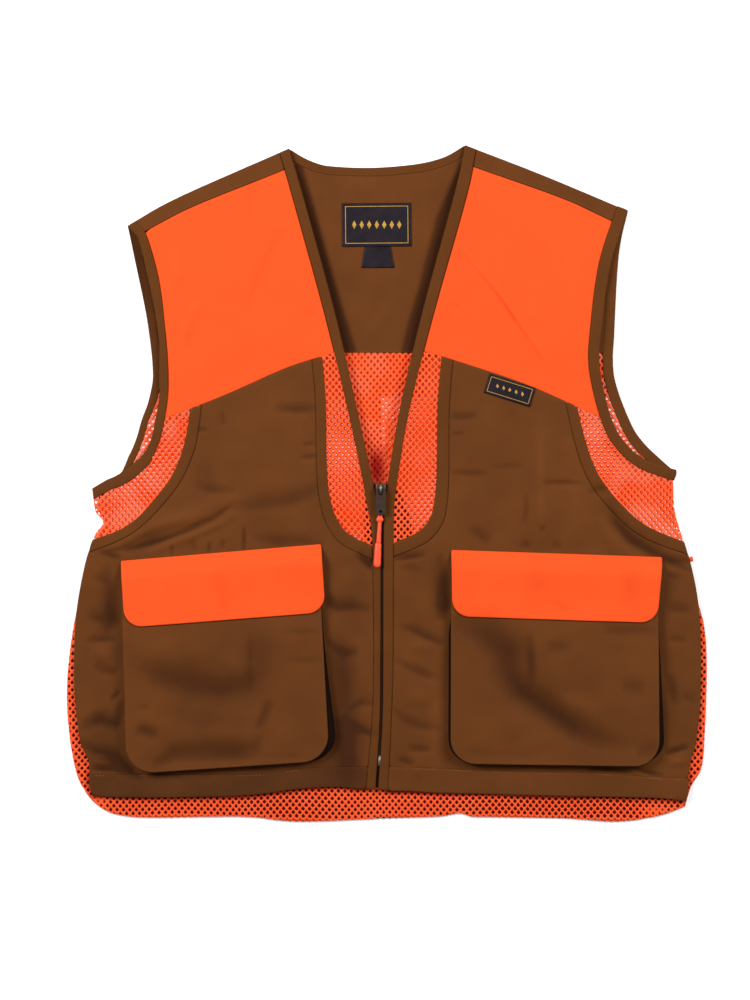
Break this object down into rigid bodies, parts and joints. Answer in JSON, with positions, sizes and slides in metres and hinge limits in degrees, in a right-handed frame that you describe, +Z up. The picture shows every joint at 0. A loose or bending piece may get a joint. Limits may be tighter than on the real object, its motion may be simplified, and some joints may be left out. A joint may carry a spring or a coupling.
{
  "type": "hunting vest",
  "caption": "Sleeveless brown and blaze-orange hunting vest laid flat, front up, with a front zip, mesh panels and flapped bellows pockets.",
  "frame": {"origin": "under the middle of the vest's outline, on the surface that it lies on", "axes": "+Y towards the neck, +X to the viewer's right, +Z up, away from the surface that the vest lies on"},
  "size_m": [0.6393, 0.6757, 0.019],
  "materials": {
    "brown_canvas": "brown poly-cotton canvas with a soft sheen",
    "brown_binding": "brown folded canvas tape, topstitched",
    "blaze_cloth": "smooth blaze-orange polyester",
    "blaze_net": "blaze-orange knit mesh with diamond holes",
    "bag_lining": "dark maroon-brown coated cloth",
    "woven_label": "black woven satin label with a plain gold border",
    "gunmetal": "dark plated zinc",
    "zip_coil": "dark nylon coil and tape",
    "orange_rubber": "moulded soft orange rubber"
  },
  "bodies": {
    "vest": {"back_yoke": "brown_canvas", "back_neck_binding": "brown_binding", "back_arm_binding_left": "brown_binding", "back_arm_binding_right": "brown_binding", "back_mesh": "blaze_net", "game_bag_panel": "bag_lining", "shoulder_strip_left": "brown_canvas", "shoulder_strip_right": "brown_canvas", "chest_panel_left": "blaze_cloth", "chest_panel_right": "blaze_cloth", "arm_mesh_left": "blaze_net", "arm_mesh_right": "blaze_net", "arm_strip_left": "brown_binding", "arm_strip_right": "brown_binding", "centre_mesh_left": "blaze_net", "centre_mesh_right": "blaze_net", "centre_strip_left": "brown_binding", "centre_strip_right": "brown_binding", "lower_front_left": "brown_canvas", "lower_front_right": "brown_canvas", "hem_band_left": "brown_canvas", "hem_band_right": "brown_canvas", "front_binding_left": "brown_binding", "front_binding_right": "brown_binding", "armhole_binding_left": "brown_binding", "armhole_binding_right": "brown_binding", "pocket_face_left": "brown_canvas", "pocket_face_right": "brown_canvas", "pocket_gusset_left": "brown_canvas", "pocket_gusset_right": "brown_canvas", "pocket_flap_left": "blaze_cloth", "pocket_flap_right": "blaze_cloth", "neck_label": "woven_label", "size_tab": "woven_label", "chest_label": "woven_label", "side_loop": "blaze_cloth", "zip_tape": "zip_coil", "zip_chain": "zip_coil", "zip_slider": "gunmetal"},
    "pull": {"pull_tab": "gunmetal", "pull_cord": "orange_rubber", "pull_grip": "orange_rubber"}
  },
  "joints": [
    {"name": "pull_tab_swing", "type": "hinge", "parent": "vest", "child": "pull", "pos_m": [-0.006, -0.0052, 0.01624], "axis": [-1, 0, 0], "range_deg": [0, 170]}
  ]
}
